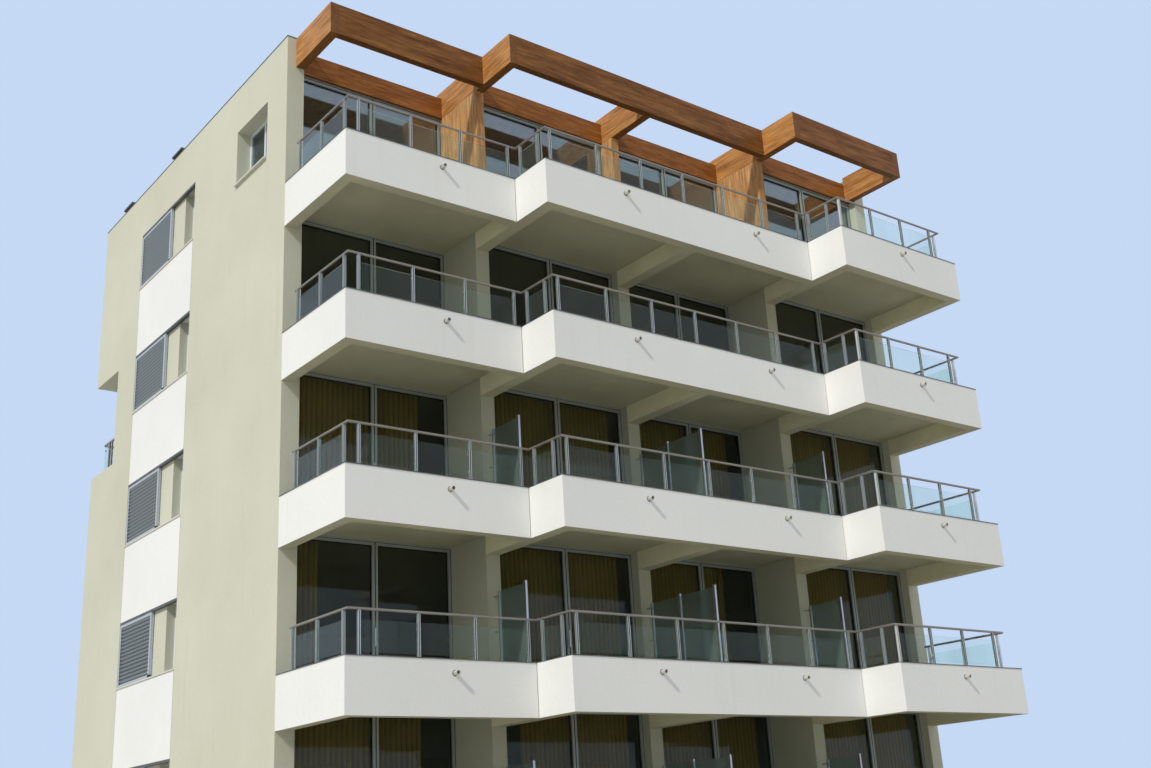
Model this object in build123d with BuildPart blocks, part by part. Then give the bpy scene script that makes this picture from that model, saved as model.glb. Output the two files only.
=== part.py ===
"""Apartment block with a stepped front, tray balconies and a timber roof frame.

Plan sizes are measured from the outer front corner of the left end wall:
x runs along the front to the right, y runs to the back, z runs up from the ground.
The model's own origin is on the ground under the middle of the plan.
"""
from build123d import *
import os

os.makedirs("parts", exist_ok=True)

# Driving dimensions of the block, in millimetres
length = 14400
left_wall = 350
right_wall = 320
rear_wall_thick = 250
rear_face = 10080
storeys = 5
storey = 3000
first_floor = 1270
slab = 200
ground_slab = 150
wall_top = 16800
roof_slab_top = 16600
roof_slab_thick = 280

# Stepped front: each step brings the front forward by the same amount
step = 955
pier = 300
pier_one_left = 3560
pier_two_left = 7120
pier_three_left = 10520
glazing_recess = 190
pier_tail = 200

# Balcony trays
balcony_reach = 2350
balcony_end_gap = 100
parapet_height = 883
kerb = 330
parapet = 220
beam = 260
joint_gap = 15
coping = 16
coping_lip = 8

# Railings on the parapets
rail_inset = 110
rail_height = 735
rail_tube = 21
post_width = 50
post_flat = 8
post_pair = 26
post_pitch = 1060
tube_sides = 8
spout_sides = 6
post_curve = 12
# Distance from each end of a straight run to its first and last post
post_margins = ((100, 130), (190, 190), (160, 245), (100, 250), (115, 320), (40, 340), (130, 100))
rail_wall_gap = 280
rail_end_inset = 310
pane = 12
pane_foot = 60
pane_head = 165

# Frosted screens between neighbours, on the three lower balconies
screen_levels = 3
screen_wall_gap = 150
screen_width = 810
screen_top = 1480
screen_foot = 100
screen_post = 40
screen_post_extra = 20
screen_bracket = 24
screen_bracket_levels = (740, 1360)
screen_pane = 14

# Sliding doors to the balconies
frame_depth = 120
frame_face = 70
head_face = 90
mullion = 110
door_pane = 24

# Slot windows of the end walls
slot_near = 4425
slot_far = 7530
slot_sill = 1015
slot_head = 2395
slot_recess = 250
niche_width = 695
slot_sill_thick = 30
slot_sill_reach = 20
track_height = 50
shutter_share = 0.57
shutter_thick = 60
shutter_frame = 60
louvre_pitch = 78
louvre_width = 86
louvre_thick = 6
louvre_tilt = 55
panel_gap = 8

# Small window of the top storey in the left end wall
small_near = 845
small_far = 2250
small_sill = 1255
small_head = 2510
small_depth = 280

# Rear windows and the corner loggia
rear_window_width = 1500
rear_window_sill = 930
rear_window_height = 1300
loggia_storey = 3
loggia_front = 8640
loggia_foot = 170
loggia_head = 2410
inner_wall = 200
sill_reach = 60
sill_thick = 30
small_frame = 60
small_frame_depth = 70
small_pane = 20

# Timber frame over the roof terrace
timber = 180
timber_front = 150
timber_height = 640
timber_foot = 16160
timber_reach = 1420
timber_left = 180
column_two_left = 7070
column_reach = 195
fascia_thick = 60
fascia_top = 16640
loggia_door_width = 1800
loggia_door_height = 2200

# Small metal pieces
spout_radius = 38
spout_wall = 4
spout_reach = 110
spout_drop = 210
spout_places = ((0, 0.549), (1, 0.273), (1, 0.772), (2, 0.503))
vent_width = 420
vent_height = 830
vent_gap = 140
vent_cap = 50
vent_cap_lip = 70
vent_wall_gap = 15
vent_starts = (6220, 9380)
vent_leg = 40
loggia_rail = 850
loggia_rail_inset = 60
loggia_rail_side = 250
loggia_pane_end = 340
loggia_pane_gap = 180
loggia_corner_gap = 10
cap_thick = 14
cap_lip = 10

# Curtains behind the sliding doors of the three lower storeys
curtain_levels = 3
curtain_gap = 130
curtain_deep = 110
curtain_foot = 15
curtain_track = 25
curtain_track_deep = 40
curtain_slip = 0.3

# How far each curtain is drawn: start and end from the left of its bay, storey by storey
curtain_spans = (
    ((0, 2650), (650, 3260), (200, 3100), (250, 3260)),
    ((0, 620), (350, 3260), (0, 2400), (0, 3260)),
    ((0, 2700), (280, 3260), (0, 2850), (0, 3260)),
)

# Values worked out from the sizes above
balcony_end = length - balcony_end_gap
plan_middle = (rear_face - balcony_reach - 2 * step) / 2
floors = [first_floor + i * storey for i in range(storeys)]
inner_right = length - right_wall
inner_rear = rear_face - rear_wall_thick
pier_lefts = [pier_one_left, pier_two_left, pier_three_left]
pier_fronts = [-step, -step, -2 * step]
bay_left = [left_wall] + [x + pier for x in pier_lefts]
bay_right = pier_lefts + [inner_right]
column_lefts = [pier_one_left, column_two_left, pier_three_left]
top_left = [left_wall] + [x + timber for x in column_lefts]
top_right = column_lefts + [inner_right]
bay_glazing = [glazing_recess - n * step for n in (0, 1, 1, 2)]
pier_backs = [bay_glazing[0] + pier_tail, -step + pier, bay_glazing[2] + pier_tail]
column_backs = [y + frame_depth for y in bay_glazing[:3]]


def at(x, y):
    """A plan point measured from the wall corner, in the model's own frame."""
    return (x - length / 2, y - plan_middle)


def outline(points, low, height):
    """Extrude a closed plan outline upwards from a level."""
    with BuildSketch(Plane.XY.offset(low)) as plan:
        with BuildLine():
            Polyline(*[at(x, y) for x, y in points], close=True)
        make_face()
    extrude(plan.sketch, amount=height)


def block(x0, x1, y0, y1, z0, z1, mode=Mode.ADD):
    """A square-edged block between two plan corners and two levels."""
    (a, b), (c, d) = at(x0, y0), at(x1, y1)
    with Locations(((a + c) / 2, (b + d) / 2, (z0 + z1) / 2)):
        Box(c - a, d - b, z1 - z0, mode=mode)


def save(item, name):
    item.part.label = name
    export_step(item.part, f"parts/{name}.step")


def inner_outline(lefts, width, backs):
    """The plan inside the walls, with its front edge at the glazing and cut round the piers."""
    line = [(left_wall, bay_glazing[0])]
    for i, x in enumerate(lefts):
        line += [
            (x, bay_glazing[i]),
            (x, backs[i]),
            (x + width, backs[i]),
            (x + width, bay_glazing[i + 1]),
        ]
    return line + [
        (inner_right, bay_glazing[3]), (inner_right, inner_rear), (left_wall, inner_rear),
    ]


# Ground slab: the whole block stands on it, inside the plinth walls
with BuildPart() as base_slab:
    outline(inner_outline(pier_lefts, pier, pier_backs), 0, ground_slab)
save(base_slab, "base_slab")

# Floor slabs: one a storey, cut round the piers, with their edges at the glazing
with BuildPart() as floor_slabs:
    for floor in floors:
        outline(inner_outline(pier_lefts, pier, pier_backs), floor - slab, slab)
save(floor_slabs, "floor_slabs")

with BuildPart() as roof_slab:
    roof_plan = inner_outline(column_lefts, timber, column_backs)
    outline(roof_plan, roof_slab_top - roof_slab_thick, roof_slab_thick)
save(roof_slab, "roof_slab")


# End walls: a thick wall with one tall column of slots, panels and shutters
def slot_levels(n):
    return floors[n] + slot_sill, floors[n] + slot_head


column_top = slot_levels(storeys - 1)[1]
column_foot = slot_levels(0)[0]


def end_wall(x0, x1, front, notch):
    with BuildSketch(Plane.YZ.offset(x0 - length / 2)) as side:
        with Locations(((front + rear_face) / 2 - plan_middle, wall_top / 2)):
            Rectangle(rear_face - front, wall_top)
        middle = ((slot_near + slot_far) / 2 - plan_middle, (column_foot + column_top) / 2)
        with Locations(middle):
            Rectangle(slot_far - slot_near, column_top - column_foot, mode=Mode.SUBTRACT)
    extrude(side.sketch, amount=x1 - x0)
    if notch:
        low = floors[loggia_storey] + loggia_foot
        high = floors[loggia_storey] + loggia_head
        block(x0, x1, loggia_front, rear_face, low, high, mode=Mode.SUBTRACT)
        top_floor = floors[storeys - 1]
        block(
            x0, x1, small_near, small_far,
            top_floor + small_sill, top_floor + small_head, mode=Mode.SUBTRACT,
        )


with BuildPart() as left_end_wall:
    end_wall(0, left_wall, 0, True)
save(left_end_wall, "left_end_wall")

with BuildPart() as right_end_wall:
    end_wall(inner_right, length, -2 * step, False)
save(right_end_wall, "right_end_wall")

# White panels between the slots. Beside each shutter a short wall stands just behind the
# track, and past it a deep niche holds a narrow window.
shutter_near = slot_far - shutter_share * (slot_far - slot_near)
niche_far = slot_near + niche_width
shutter_depth = panel_gap + shutter_thick
track_depth = shutter_depth + panel_gap
with BuildPart() as infill_panels:
    for n in range(storeys - 1):
        block(0, right_wall, slot_near, slot_far, slot_levels(n)[1], slot_levels(n + 1)[0])
    mirror(about=Plane.YZ)
save(infill_panels, "infill_panels")

with BuildPart() as slot_backs:
    for n in range(storeys):
        block(track_depth, right_wall, niche_far, shutter_near, *slot_levels(n))
    mirror(about=Plane.YZ)
save(slot_backs, "slot_backs")

# Track at the head of each slot, which the shutter slides in
with BuildPart() as shutter_tracks:
    for n in range(storeys):
        high = slot_levels(n)[1]
        block(0, track_depth, slot_near, slot_far, high - track_height, high)
    mirror(about=Plane.YZ)
save(shutter_tracks, "shutter_tracks")

# Louvre shutters: a square frame with tilted blades let into its stiles
shutter_width = slot_far - shutter_near - 2 * panel_gap
shutter_height = slot_head - slot_sill - slot_sill_thick - track_height
blade_field = shutter_height - 2 * shutter_frame
blade_count = int(blade_field // louvre_pitch)
blade_length = shutter_width - 2 * shutter_frame + 2 * louvre_thick
with BuildPart() as shutter:
    Box(shutter_thick, shutter_width, shutter_height)
    Box(
        shutter_thick, shutter_width - 2 * shutter_frame, blade_field, mode=Mode.SUBTRACT
    )
    across = Plane(origin=(0, 0, 0), x_dir=(0, 1, 0), z_dir=(1, 0, 0))
    with Locations(across):
        with GridLocations(0, louvre_pitch, 1, blade_count):
            Box(blade_length, louvre_thick, louvre_width, rotation=(louvre_tilt, 0, 0))

shutter_x = -length / 2 + panel_gap + shutter_thick / 2
shutter_y = (shutter_near + slot_far) / 2 - plan_middle
shutter_lift = slot_sill + slot_sill_thick + shutter_height / 2
with BuildPart() as louvre_shutters:
    with Locations(*[(shutter_x, shutter_y, floor + shutter_lift) for floor in floors]):
        add(shutter.part)
    mirror(about=Plane.YZ)
save(louvre_shutters, "louvre_shutters")

# Piers at the steps of the front: the first and third are short walls across a step
with BuildPart() as piers:
    for x, y0, y1 in zip(pier_lefts, pier_fronts, pier_backs):
        block(x, x + pier, y0, y1, 0, floors[-1])
save(piers, "piers")

# Plinth walls close the front below the first floor
with BuildPart() as plinth_walls:
    for x0, x1, y in zip(bay_left, bay_right, bay_glazing):
        block(x0, x1, y - frame_depth, y, 0, floors[0] - slab)
save(plinth_walls, "plinth_walls")

# Rear wall with one window a bay and storey, open at the corner loggia
rear_places = []
for n, floor in enumerate(floors):
    for x0, x1 in zip(bay_left, bay_right):
        if n != loggia_storey or x0 != left_wall:
            x, y = at((x0 + x1) / 2, (inner_rear + rear_face) / 2)
            rear_places.append((x, y, floor + rear_window_sill + rear_window_height / 2))

with BuildPart() as rear_wall:
    block(left_wall, inner_right, inner_rear, rear_face, 0, wall_top)
    with Locations(*rear_places):
        Box(rear_window_width, rear_wall_thick, rear_window_height, mode=Mode.SUBTRACT)
    block(
        left_wall, pier_one_left, inner_rear, rear_face,
        floors[loggia_storey] + loggia_foot, floors[loggia_storey] + loggia_head,
        mode=Mode.SUBTRACT,
    )
save(rear_wall, "rear_wall")

# Loggia walls: set back behind the corner opening, with a door in the long one
loggia_low = floors[loggia_storey]
loggia_high = loggia_low + storey - slab
door_middle = (left_wall + pier_one_left) / 2
with BuildPart() as loggia_walls:
    block(left_wall, pier_one_left, loggia_front - inner_wall, loggia_front, loggia_low, loggia_high)
    block(
        pier_one_left, pier_one_left + inner_wall, loggia_front - inner_wall, inner_rear,
        loggia_low, loggia_high,
    )
    block(
        door_middle - loggia_door_width / 2, door_middle + loggia_door_width / 2,
        loggia_front - inner_wall, loggia_front,
        loggia_low, loggia_low + loggia_door_height, mode=Mode.SUBTRACT,
    )
save(loggia_walls, "loggia_walls")

# Balcony trays: floor, edge beams and parapets cast in one, in three parts a level
tray_fronts = [-balcony_reach - n * step for n in range(3)]
tray_lefts = [0, pier_one_left, pier_three_left]
tray_rights = [pier_one_left - joint_gap, pier_three_left - joint_gap, balcony_end]


def tray_outline(n):
    """The plan of one tray, from its front corners back to the piers and the glazing."""
    left, right, front = tray_lefts[n], tray_rights[n], tray_fronts[n]
    if n == 0:
        return [
            (left, front), (right, front), (right, bay_glazing[0]),
            (left_wall, bay_glazing[0]), (left_wall, 0), (left, 0),
        ]
    if n == 1:
        x1, x2 = pier_one_left, pier_two_left
        return [
            (left, front), (right, front), (right, bay_glazing[2]),
            (x2 + pier, bay_glazing[2]), (x2 + pier, -step), (x2, -step), (x2, bay_glazing[1]),
            (x1 + pier, bay_glazing[1]), (x1 + pier, -step), (x1, -step),
        ]
    x3 = pier_three_left
    return [
        (left, front), (right, front), (right, -2 * step), (inner_right, -2 * step),
        (inner_right, bay_glazing[3]), (x3 + pier, bay_glazing[3]), (x3 + pier, -2 * step),
        (x3, -2 * step),
    ]


def tray(n, floor):
    """One tray: its slab, the beams below and the parapets on the open sides."""
    left, right, front = tray_lefts[n], tray_rights[n], tray_fronts[n]
    top, foot = floor + kerb, floor + kerb - parapet_height
    outline(tray_outline(n), floor - slab, slab)
    pier_front = -n * step
    parapet_back = pier_front if n == 0 else tray_fronts[n - 1] + parapet
    block(left, right, front, front + parapet, foot, top)
    block(left, left + parapet, front, parapet_back, foot, top)
    if n > 0:
        block(left, left + beam, front, pier_front, foot, floor)
    if n == 1:
        block(pier_two_left, pier_two_left + beam, front, pier_front, foot, floor)
    if n == 2:
        block(right - parapet, right, front, pier_front, foot, top)


with BuildPart() as trays:
    for n in range(3):
        tray(n, 0)
for level, floor in enumerate(floors):
    with BuildPart() as balcony:
        with Locations((0, 0, floor)):
            add(trays.part)
    save(balcony, f"balcony_{level}")

# Metal copings on the parapets
with BuildPart() as coping_run:
    for n in range(3):
        left, right, front = tray_lefts[n], tray_rights[n], tray_fronts[n]
        back = 0 if n == 0 else tray_fronts[n - 1] + parapet
        wide = parapet + coping_lip
        start = left - coping_lip if n == 0 else left
        block(start, right, front - coping_lip, front + wide, kerb, kerb + coping)
        block(start, left + wide, front - coping_lip, back, kerb, kerb + coping)
        if n == 2:
            edge = right + coping_lip
            block(right - wide, edge, front - coping_lip, -n * step, kerb, kerb + coping)

with BuildPart() as parapet_copings:
    with Locations(*[(0, 0, floor) for floor in floors]):
        add(coping_run.part)
save(parapet_copings, "parapet_copings")

# Railings: a handrail of round tube over a line of posts, mitred round the steps
rail_line = [
    (rail_inset, -rail_wall_gap),
    (rail_inset, tray_fronts[0] + rail_inset),
    (pier_one_left + rail_inset, tray_fronts[0] + rail_inset),
    (pier_one_left + rail_inset, tray_fronts[1] + rail_inset),
    (pier_three_left + rail_inset, tray_fronts[1] + rail_inset),
    (pier_three_left + rail_inset, tray_fronts[2] + rail_inset),
    (balcony_end - rail_end_inset, tray_fronts[2] + rail_inset),
    (balcony_end - rail_end_inset, -2 * step - rail_wall_gap),
]


def run_posts(run, margins):
    """Places of the posts along one straight run, evenly spaced near the usual pitch."""
    (x0, y0), (x1, y1) = run
    reach = ((x1 - x0) ** 2 + (y1 - y0) ** 2) ** 0.5
    first, last = margins[0], reach - margins[1]
    spans = max(1, round((last - first) / post_pitch))
    shares = [(first + (last - first) * i / spans) / reach for i in range(spans + 1)]
    return [(x0 + (x1 - x0) * share, y0 + (y1 - y0) * share) for share in shares]


rail_runs = list(zip(rail_line[:-1], rail_line[1:]))
rail_z = kerb + rail_height
post_foot = kerb + coping
post_head = rail_z - rail_tube
post_height = post_head - post_foot
pane_low = post_foot + pane_foot
pane_high = rail_z - pane_head


with BuildPart() as handrail:
    with BuildLine():
        route = Polyline(*[(*at(x, y), rail_z) for x, y in rail_line])
    with BuildSketch(Plane(route @ 0, z_dir=route % 0)):
        RegularPolygon(rail_tube, tube_sides, major_radius=False, rotation=180 / tube_sides)
    sweep(transition=Transition.RIGHT)

with BuildPart() as handrails:
    with Locations(*[(0, 0, floor) for floor in floors]):
        add(handrail.part)
save(handrails, "handrails")

# Railing posts: a flat bar bent over at the head, so that its two legs hold the panes
half_post = post_pair / 2 + post_flat
with BuildPart() as post:
    with BuildSketch(Plane.XZ) as post_face:
        with BuildLine():
            Polyline(
                (-half_post, 0), (-half_post, post_height - post_curve),
                (-half_post + post_curve, post_height), (half_post - post_curve, post_height),
                (half_post, post_height - post_curve), (half_post, 0), close=True,
            )
        make_face()
        with Locations((0, (post_height - post_flat) / 2)):
            Rectangle(post_pair, post_height - post_flat, mode=Mode.SUBTRACT)
    extrude(post_face.sketch, amount=post_width / 2, both=True)

post_spots = []
for run, margins in zip(rail_runs, post_margins):
    turn = 0 if run[0][1] == run[1][1] else 90
    post_spots += [((*at(x, y), post_foot), turn) for x, y in run_posts(run, margins)]
with BuildPart() as post_row:
    with Locations(*[Location(spot, (0, 0, turn)) for spot, turn in post_spots]):
        add(post.part)

for level, floor in enumerate(floors):
    with BuildPart() as railing_posts:
        with Locations((0, 0, floor)):
            add(post_row.part)
    save(railing_posts, f"railing_posts_{level}")

# Railing panes stand between the posts, clipped to their legs
with BuildPart() as pane_run:
    for run, margins in zip(rail_runs, post_margins):
        along_x = run[0][1] == run[1][1]
        posts = run_posts(run, margins)
        middles = [
            (*at((a[0] + b[0]) / 2, (a[1] + b[1]) / 2), (pane_low + pane_high) / 2)
            for a, b in zip(posts[:-1], posts[1:])
        ]
        span = max(abs(posts[0][0] - posts[1][0]), abs(posts[0][1] - posts[1][1]))
        clear = span - 2 * half_post
        with Locations(*middles):
            if along_x:
                Box(clear, pane, pane_high - pane_low)
            else:
                Box(pane, clear, pane_high - pane_low)

# Frosted screens stand out from each pier, between the neighbours' balconies
screen_places = [(x + pier / 2, y) for x, y in zip(pier_lefts, pier_fronts)]
screen_high = kerb + screen_top
with BuildPart() as post_set:
    half = screen_post / 2
    for x, y in screen_places:
        near, far = y - screen_wall_gap, y - screen_wall_gap - screen_width
        block(x - half, x + half, near - half, near + half, 0, screen_high - screen_post)
        block(x - half, x + half, far - half, far + half + screen_post_extra, 0, screen_high)
        for z in screen_bracket_levels:
            arm = screen_bracket / 2
            block(x - arm, x + arm, near + half, y, kerb + z - arm, kerb + z + arm)

with BuildPart() as screen_posts:
    with Locations(*[(0, 0, floor) for floor in floors[:screen_levels]]):
        add(post_set.part)
save(screen_posts, "screen_posts")

with BuildPart() as screen_set:
    half = screen_pane / 2
    for x, y in screen_places:
        near = y - screen_wall_gap - screen_post / 2
        far = y - screen_wall_gap - screen_width + screen_post / 2 + screen_post_extra
        block(x - half, x + half, far, near, screen_foot, screen_high - screen_post)

with BuildPart() as screen_glass:
    with Locations(*[(0, 0, floor) for floor in floors[:screen_levels]]):
        add(screen_set.part)
save(screen_glass, "screen_glass")


# Sliding doors: a frame with a broad middle where the two leaves meet
def door_frame_row(lefts, rights, rise):
    for x0, x1, y in zip(lefts, rights, bay_glazing):
        block(x0, x1, y, y + frame_depth, 0, rise)
        for a, b in leaf_spans(x0, x1):
            block(a, b, y, y + frame_depth, frame_face, rise - head_face, mode=Mode.SUBTRACT)


def leaf_spans(x0, x1):
    middle = (x0 + x1) / 2
    return (x0 + frame_face, middle - mullion / 2), (middle + mullion / 2, x1 - frame_face)


def door_glass_row(lefts, rights, rise):
    for x0, x1, y in zip(lefts, rights, bay_glazing):
        near = y + (frame_depth - door_pane) / 2
        for a, b in leaf_spans(x0, x1):
            block(a, b, near, near + door_pane, frame_face, rise - head_face)


door_rise = storey - slab
top_rise = timber_foot - floors[-1]
lower_floors = [(0, 0, floor) for floor in floors[:-1]]
with BuildPart() as lower_frames:
    door_frame_row(bay_left, bay_right, door_rise)
with BuildPart() as top_frames:
    door_frame_row(top_left, top_right, top_rise)
with BuildPart() as door_frames:
    with Locations(*lower_floors):
        add(lower_frames.part)
    with Locations((0, 0, floors[-1])):
        add(top_frames.part)
save(door_frames, "door_frames")

with BuildPart() as lower_glass:
    door_glass_row(bay_left, bay_right, door_rise)
with BuildPart() as top_glass:
    door_glass_row(top_left, top_right, top_rise)
with BuildPart() as door_glass:
    with Locations(*lower_floors):
        add(lower_glass.part)
    with Locations((0, 0, floors[-1])):
        add(top_glass.part)
save(door_glass, "door_glass")


# Small windows: a slim frame round one or two leaves, at the rear, in the slots, in the
# loggia and in the end wall
def window_leaves(width, height, leaves, thick, mode):
    """The panes of a window, or the holes that they fill, about the middle of its frame."""
    leaf = (width - (leaves + 1) * small_frame) / leaves
    with GridLocations(leaf + small_frame, 0, leaves, 1):
        Box(leaf, thick, height - 2 * small_frame, mode=mode)


inner_shift = (rear_wall_thick - small_frame_depth) / 2
loggia_y = loggia_front - inner_wall + small_frame_depth / 2
side_x, side_y = at(small_depth + small_frame_depth / 2, (small_near + small_far) / 2)
side_z = floors[-1] + (small_sill + small_head) / 2
slot_x = length / 2 - slot_recess - small_frame_depth / 2
slot_z = (slot_sill + slot_head) / 2
window_kinds = [
    (
        rear_window_width, rear_window_height, 1,
        [Location((x, y - inner_shift, z)) for x, y, z in rear_places],
    ),
    (
        loggia_door_width, loggia_door_height, 2,
        [Location((*at(door_middle, loggia_y), loggia_low + loggia_door_height / 2))],
    ),
    (
        small_far - small_near, small_head - small_sill, 2,
        [Location((side_x, side_y, side_z), (0, 0, 90))],
    ),
] + [
    (
        width, slot_head - slot_sill, 1,
        [
            Location((x, middle - plan_middle, floor + slot_z), (0, 0, 90))
            for x in (-slot_x, slot_x) for floor in floors
        ],
    )
    for width, middle in (
        (slot_far - shutter_near, (shutter_near + slot_far) / 2),
        (niche_width, slot_near + niche_width / 2),
    )
]
with BuildPart() as small_frames:
    for width, height, leaves, places in window_kinds:
        with BuildPart(mode=Mode.PRIVATE) as frame:
            Box(width, small_frame_depth, height)
            window_leaves(width, height, leaves, small_frame_depth, Mode.SUBTRACT)
        with Locations(*places):
            add(frame.part)
save(small_frames, "small_frames")

with BuildPart() as small_glass:
    for width, height, leaves, places in window_kinds:
        with BuildPart(mode=Mode.PRIVATE) as leaf_panes:
            window_leaves(width, height, leaves, small_pane, Mode.ADD)
        with Locations(*places):
            add(leaf_panes.part)
save(small_glass, "small_glass")

# Sills stand a little proud of the wall face
sill_depth = rear_wall_thick - small_frame_depth + sill_reach
with BuildPart() as slot_sills:
    for floor in floors:
        low = floor + slot_sill
        top = low + slot_sill_thick
        block(-slot_sill_reach, track_depth, slot_near, slot_far, low, top)
        block(track_depth, slot_recess, slot_near, niche_far, low, top)
    mirror(about=Plane.YZ)

with BuildPart() as window_sills:
    add(slot_sills.part)
    low = floors[-1] + small_sill
    block(-sill_reach, small_depth, small_near, small_far, low, low + sill_thick)
    shift = (small_frame_depth + sill_reach) / 2
    lift = (rear_window_height - sill_thick) / 2
    with Locations(*[(x, y + shift, z - lift) for x, y, z in rear_places]):
        Box(rear_window_width, sill_depth, sill_thick)
save(window_sills, "window_sills")

# Timber frame: front beams and cross beams of one depth, over the terrace
timber_lefts = [timber_left, pier_one_left, pier_three_left]
timber_rights = [pier_one_left, pier_three_left, inner_right]
timber_fronts = [-timber_reach - n * step for n in range(3)]
timber_top = timber_foot + timber_height
with BuildPart() as timber_front_beams:
    for n in range(3):
        x0 = timber_lefts[n] + timber
        x1 = timber_rights[n] - (timber if n == 2 else 0)
        y = timber_fronts[n]
        block(x0, x1, y, y + timber_front, timber_foot, timber_top)
save(timber_front_beams, "timber_front_beams")

with BuildPart() as timber_cross_beams:
    for x, front, back in (
        (timber_left, timber_fronts[0], 0),
        (pier_one_left, timber_fronts[1], column_backs[0]),
        (column_two_left, timber_fronts[1] + timber_front, column_backs[1]),
        (pier_three_left, timber_fronts[2], column_backs[2]),
        (inner_right - timber, timber_fronts[2], bay_glazing[3] - fascia_thick),
    ):
        block(x, x + timber, front, back, timber_foot, timber_top)
save(timber_cross_beams, "timber_cross_beams")

# Timber-clad piers of the top storey carry the cross beams
with BuildPart() as timber_piers:
    for x, front, back in zip(column_lefts, pier_fronts, column_backs):
        block(x, x + timber, front - column_reach, back, floors[-1], timber_foot)
save(timber_piers, "timber_piers")

with BuildPart() as roof_fascia:
    for x0, x1, y in zip(top_left, top_right, bay_glazing):
        block(x0, x1, y - fascia_thick, y, timber_foot, fascia_top)
save(roof_fascia, "roof_fascia")

# Rain spouts through the tray fronts
spout_spots = []
for n, share in spout_places:
    x = tray_lefts[n] + share * (tray_rights[n] - tray_lefts[n])
    spout_spots.append((*at(x, tray_fronts[n] - spout_reach / 2), kerb - spout_drop))
with BuildPart() as spout:
    with BuildSketch(Plane.XZ) as spout_ring:
        RegularPolygon(spout_radius, spout_sides)
        RegularPolygon(spout_radius - spout_wall, spout_sides, mode=Mode.SUBTRACT)
    extrude(spout_ring.sketch, amount=spout_reach / 2, both=True)
with BuildPart() as drain_spouts:
    with Locations(*[(x, y, floor + z) for floor in floors for x, y, z in spout_spots]):
        add(spout.part)
save(drain_spouts, "drain_spouts")

# Metal cappings on the tops of the end walls and the rear wall
near, far = -cap_lip, rear_face + cap_lip
with BuildPart() as wall_cappings:
    outline([
        (-cap_lip, near), (left_wall + cap_lip, near), (left_wall + cap_lip, inner_rear - cap_lip),
        (inner_right - cap_lip, inner_rear - cap_lip), (inner_right - cap_lip, near - 2 * step),
        (length + cap_lip, near - 2 * step), (length + cap_lip, far), (-cap_lip, far),
    ], wall_top, cap_thick)
save(wall_cappings, "wall_cappings")

# Roof vents: square shafts beside the left end wall, each under a flat cap on corner legs
with BuildPart() as roof_vents:
    for y in vent_starts:
        x = left_wall + vent_wall_gap
        shaft_top = roof_slab_top + vent_height - vent_gap - vent_cap
        cap_foot = roof_slab_top + vent_height - vent_cap
        block(x, x + vent_width, y, y + vent_width, roof_slab_top, shaft_top)
        for a in (x, x + vent_width - vent_leg):
            for b in (y, y + vent_width - vent_leg):
                block(a, a + vent_leg, b, b + vent_leg, shaft_top, cap_foot)
        block(
            x - vent_cap_lip, x + vent_width + vent_cap_lip,
            y - vent_cap_lip, y + vent_width + vent_cap_lip, cap_foot, cap_foot + vent_cap,
        )
save(roof_vents, "roof_vents")

# Loggia railing: a handrail on posts along the open corner. Two posts stand close together
# where two panes meet, and the panes reach the corner past the last post.
guard_foot = floors[loggia_storey] + loggia_foot
guard_top = guard_foot + loggia_rail
guard_x, guard_y = loggia_rail_side, rear_face - loggia_rail_inset
guard_near, guard_right = loggia_front + loggia_rail_inset, pier_one_left - loggia_rail_inset
last_y, last_x = guard_y - loggia_pane_end, guard_x + loggia_pane_end
half = screen_post / 2
guard_posts = [
    (guard_x, guard_near), (guard_x, last_y - loggia_pane_gap), (guard_x, last_y),
    (last_x, guard_y), (last_x + loggia_pane_gap, guard_y), (guard_right, guard_y),
]
with BuildPart() as loggia_railing:
    for x, y in guard_posts:
        block(x - half, x + half, y - half, y + half, guard_foot, guard_top)
    low = guard_top - screen_post
    block(guard_x - half, guard_x + half, guard_near, guard_y, low, guard_top)
    block(guard_x, guard_right, guard_y - half, guard_y + half, low, guard_top)
save(loggia_railing, "loggia_railing")

# Glass of the loggia railing, kept with the panes of the balcony railings
with BuildPart() as guard_panes:
    thin = pane / 2
    low, high = guard_foot + pane_foot, guard_top - screen_post
    for a, b in ((guard_near, last_y - loggia_pane_gap), (last_y, guard_y)):
        end = b - half if b < guard_y else b - half - loggia_corner_gap
        block(guard_x - thin, guard_x + thin, a + half, end, low, high)
    for a, b in ((guard_x, last_x), (last_x + loggia_pane_gap, guard_right)):
        start = a + half if a > guard_x else a + half + loggia_corner_gap
        block(start, b - half, guard_y - thin, guard_y + thin, low, high)

with BuildPart() as railing_glass:
    with Locations(*[(0, 0, floor) for floor in floors]):
        add(pane_run.part)
    add(guard_panes.part)
save(railing_glass, "railing_glass")

# Curtains hang from tracks under the ceilings, clear of the doors and of the floor
with BuildPart() as curtain_tracks:
    for floor in floors[:curtain_levels]:
        for x0, x1, y in zip(bay_left, bay_right, bay_glazing):
            start = y + frame_depth + curtain_gap + (curtain_deep - curtain_track_deep) / 2
            high = floor + storey - slab
            block(x0, x1, start, start + curtain_track_deep, high - curtain_track, high)
save(curtain_tracks, "curtain_tracks")

with BuildPart() as curtains:
    for floor, spans in zip(floors, curtain_spans):
        for (a, b), x0, x1, y in zip(spans, bay_left, bay_right, bay_glazing):
            start = y + frame_depth + curtain_gap
            left = x0 + max(a, curtain_gap)
            right = min(x0 + b, x1 - curtain_gap)
            high = floor + storey - slab - curtain_track - curtain_slip
            block(left, right, start, start + curtain_deep, floor + curtain_foot, high)
save(curtains, "curtains")
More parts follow.
